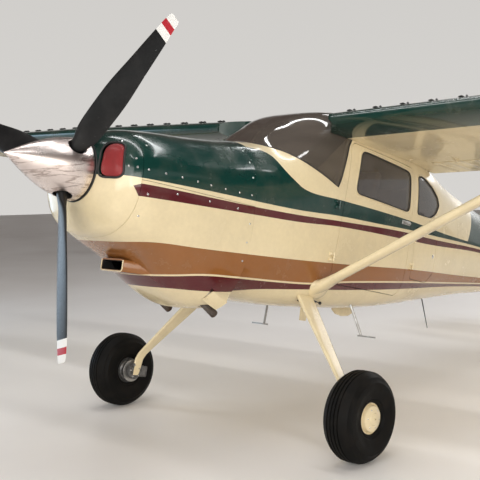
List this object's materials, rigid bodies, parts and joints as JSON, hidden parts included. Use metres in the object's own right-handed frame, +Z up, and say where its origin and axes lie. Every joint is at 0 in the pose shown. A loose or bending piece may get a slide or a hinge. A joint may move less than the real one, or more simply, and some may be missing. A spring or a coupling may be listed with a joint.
{
  "type": "high-wing tailwheel light aircraft",
  "caption": "High-wing light aircraft with one strut a side, tailwheel, nose propeller, doors and moving control surfaces, parked nose-up.",
  "frame": {"origin": "on the floor, in the middle of the whole aircraft's box seen from above", "axes": "+X to the aircraft's left, -Y towards the nose, +Z up from the floor; the aircraft stands on its three wheels with its nose 11 degrees up"},
  "size_m": [10.92, 7.8318, 2.6272],
  "materials": {
    "cream_paint": "glossy cream paint",
    "green_paint": "glossy dark green paint",
    "polished_spinner": "polished",
    "blade_paint": "satin black with light tips",
    "foam_plug": "soft red foam",
    "tinted_glazing": "brown-grey tinted acrylic",
    "tyre_rubber": "matt black",
    "heat_dark_iron": "heat-darkened",
    "bare_steel": "bare metal",
    "seat_leather": "brown",
    "floor_covering": "dark carpet",
    "dark_plastic": "matt black"
  },
  "bodies": {
    "airframe": {"nose_bowl": "green_paint", "inlet_plug_left": "foam_plug", "inlet_plug_right": "foam_plug", "cowl_upper": "green_paint", "cowl_lower": "cream_paint", "exhaust_left": "heat_dark_iron", "exhaust_right": "heat_dark_iron", "engine": "heat_dark_iron", "firewall": "bare_steel", "cabin_shell": "cream_paint", "windshield": "tinted_glazing", "rear_window_left": "tinted_glazing", "rear_window_right": "tinted_glazing", "cabin_floor": "floor_covering", "instrument_panel": "dark_plastic", "control_yoke_left": "dark_plastic", "control_yoke_right": "dark_plastic", "front_seat_left": "seat_leather", "front_seat_right": "seat_leather", "rear_bench": "seat_leather", "tailcone": "green_paint", "wing_left": "green_paint", "wing_right": "green_paint", "strut_left": "cream_paint", "strut_right": "cream_paint", "fin": "green_paint", "stabilizer": "cream_paint", "gear_leg_left": "cream_paint", "gear_leg_right": "cream_paint", "tailwheel_spring": "bare_steel", "entry_step_left": "bare_steel", "entry_step_right": "bare_steel", "belly_aerial": "dark_plastic", "belly_fin": "cream_paint", "belly_plate": "cream_paint"},
    "propeller": {"spinner": "polished_spinner", "propeller_hub": "bare_steel", "blade_1": "blade_paint", "blade_2": "blade_paint", "blade_3": "blade_paint"},
    "left_door": {"door_left": "cream_paint", "door_glass_left": "tinted_glazing"},
    "right_door": {"door_right": "cream_paint", "door_glass_right": "tinted_glazing"},
    "baggage_hatch": {"baggage_door": "cream_paint"},
    "left_flap": {"flap_left": "cream_paint"},
    "right_flap": {"flap_right": "cream_paint"},
    "left_aileron": {"aileron_left": "cream_paint"},
    "right_aileron": {"aileron_right": "cream_paint"},
    "rudder_body": {"rudder": "cream_paint"},
    "elevator_body": {"elevator": "cream_paint"},
    "left_wheel": {"tyre_left": "tyre_rubber", "wheel_left": "cream_paint"},
    "right_wheel": {"tyre_right": "tyre_rubber", "wheel_right": "cream_paint"},
    "tail_fork": {"tailwheel_fork": "bare_steel"},
    "tail_wheel": {"tailwheel_hub": "bare_steel", "tailwheel_tyre": "tyre_rubber"},
    "left_cowl_flap": {"cowl_flap_left": "cream_paint"},
    "right_cowl_flap": {"cowl_flap_right": "cream_paint"}
  },
  "joints": [
    {"name": "propeller_spin", "type": "hinge", "parent": "airframe", "child": "propeller", "pos_m": [0, -3.52734, 1.83084], "axis": [0, -0.9811, 0.1934], "continuous": true},
    {"name": "left_door_hinge", "type": "hinge", "parent": "airframe", "child": "left_door", "pos_m": [0.574, -1.63573, 1.458], "axis": [0, -0.1934, -0.9811], "range_deg": [0, 75]},
    {"name": "right_door_hinge", "type": "hinge", "parent": "airframe", "child": "right_door", "pos_m": [-0.574, -1.63573, 1.458], "axis": [0, 0.1934, 0.9811], "range_deg": [0, 75]},
    {"name": "baggage_hatch_hinge", "type": "hinge", "parent": "airframe", "child": "baggage_hatch", "pos_m": [0.542, -0.62495, 1.17724], "axis": [0, -0.1934, -0.9811], "range_deg": [0, 80]},
    {"name": "left_flap_hinge", "type": "hinge", "parent": "airframe", "child": "left_flap", "pos_m": [0.65, -0.51451, 1.93497], "axis": [-0.9995, -0.0033, -0.0318], "range_deg": [0, 40]},
    {"name": "right_flap_hinge", "type": "hinge", "parent": "airframe", "child": "right_flap", "pos_m": [-0.65, -0.51451, 1.93497], "axis": [-0.9995, 0.0033, 0.0318], "range_deg": [0, 40]},
    {"name": "left_aileron_hinge", "type": "hinge", "parent": "airframe", "child": "left_aileron", "pos_m": [2.68, -0.46833, 1.99057], "axis": [-0.9937, 0.089, -0.0677], "range_deg": [-18, 18]},
    {"name": "right_aileron_hinge", "type": "hinge", "parent": "airframe", "child": "right_aileron", "pos_m": [-2.68, -0.46833, 1.99057], "axis": [-0.9937, -0.089, 0.0677], "range_deg": [-18, 18]},
    {"name": "rudder_hinge", "type": "hinge", "parent": "airframe", "child": "rudder_body", "pos_m": [0, 3.33445, 0.54974], "axis": [0, 0.2441, 0.9698], "range_deg": [-24, 24]},
    {"name": "elevator_hinge", "type": "hinge", "parent": "airframe", "child": "elevator_body", "pos_m": [0, 3.10714, 0.83406], "axis": [-1, 0, 0], "range_deg": [-26, 20]},
    {"name": "left_wheel_spin", "type": "hinge", "parent": "airframe", "child": "left_wheel", "pos_m": [1.164, -2.18921, 0.284], "axis": [1, 0, 0], "continuous": true},
    {"name": "right_wheel_spin", "type": "hinge", "parent": "airframe", "child": "right_wheel", "pos_m": [-1.164, -2.18921, 0.284], "axis": [1, 0, 0], "continuous": true},
    {"name": "tail_fork_steer", "type": "hinge", "parent": "airframe", "child": "tail_fork", "pos_m": [0, 2.97983, 0.28124], "axis": [0, 0.3067, 0.9518], "range_deg": [-24, 24]},
    {"name": "tail_wheel_spin", "type": "hinge", "parent": "tail_fork", "child": "tail_wheel", "pos_m": [0, 3.00874, 0.128], "axis": [1, 0, 0], "continuous": true},
    {"name": "left_cowl_flap_hinge", "type": "hinge", "parent": "airframe", "child": "left_cowl_flap", "pos_m": [0.325, -2.69027, 0.99966], "axis": [-1, 0, 0], "range_deg": [-20, 5]},
    {"name": "right_cowl_flap_hinge", "type": "hinge", "parent": "airframe", "child": "right_cowl_flap", "pos_m": [-0.325, -2.69027, 0.99966], "axis": [-1, 0, 0], "range_deg": [-20, 5]}
  ],
  "couplings": [
    {"joint": "right_flap_hinge", "follows": "left_flap_hinge", "ratio": 1},
    {"joint": "right_aileron_hinge", "follows": "left_aileron_hinge", "ratio": -1},
    {"joint": "right_cowl_flap_hinge", "follows": "left_cowl_flap_hinge", "ratio": 1}
  ]
}
